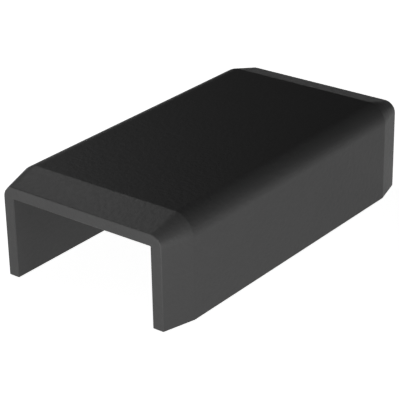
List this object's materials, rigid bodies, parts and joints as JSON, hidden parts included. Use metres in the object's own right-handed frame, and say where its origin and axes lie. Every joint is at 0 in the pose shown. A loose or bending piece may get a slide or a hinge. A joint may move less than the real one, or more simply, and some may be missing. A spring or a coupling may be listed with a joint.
{
  "type": "cable trunking joiner",
  "caption": "U-shaped one-piece moulded cover that slides over the butt joint of two lengths of mini trunking, with round long edges and bevelled ends.",
  "frame": {"origin": "middle of the joiner in plan, on the plane of its two feet", "axes": "+Y along the trunking run, +Z from the feet up to the crown, X across the channel"},
  "size_m": [0.0204, 0.038, 0.0102],
  "materials": {
    "body": "black PVC-U, injection moulded, fine matte texture"
  },
  "bodies": {
    "root": {"joiner": "body"}
  },
  "joints": []
}
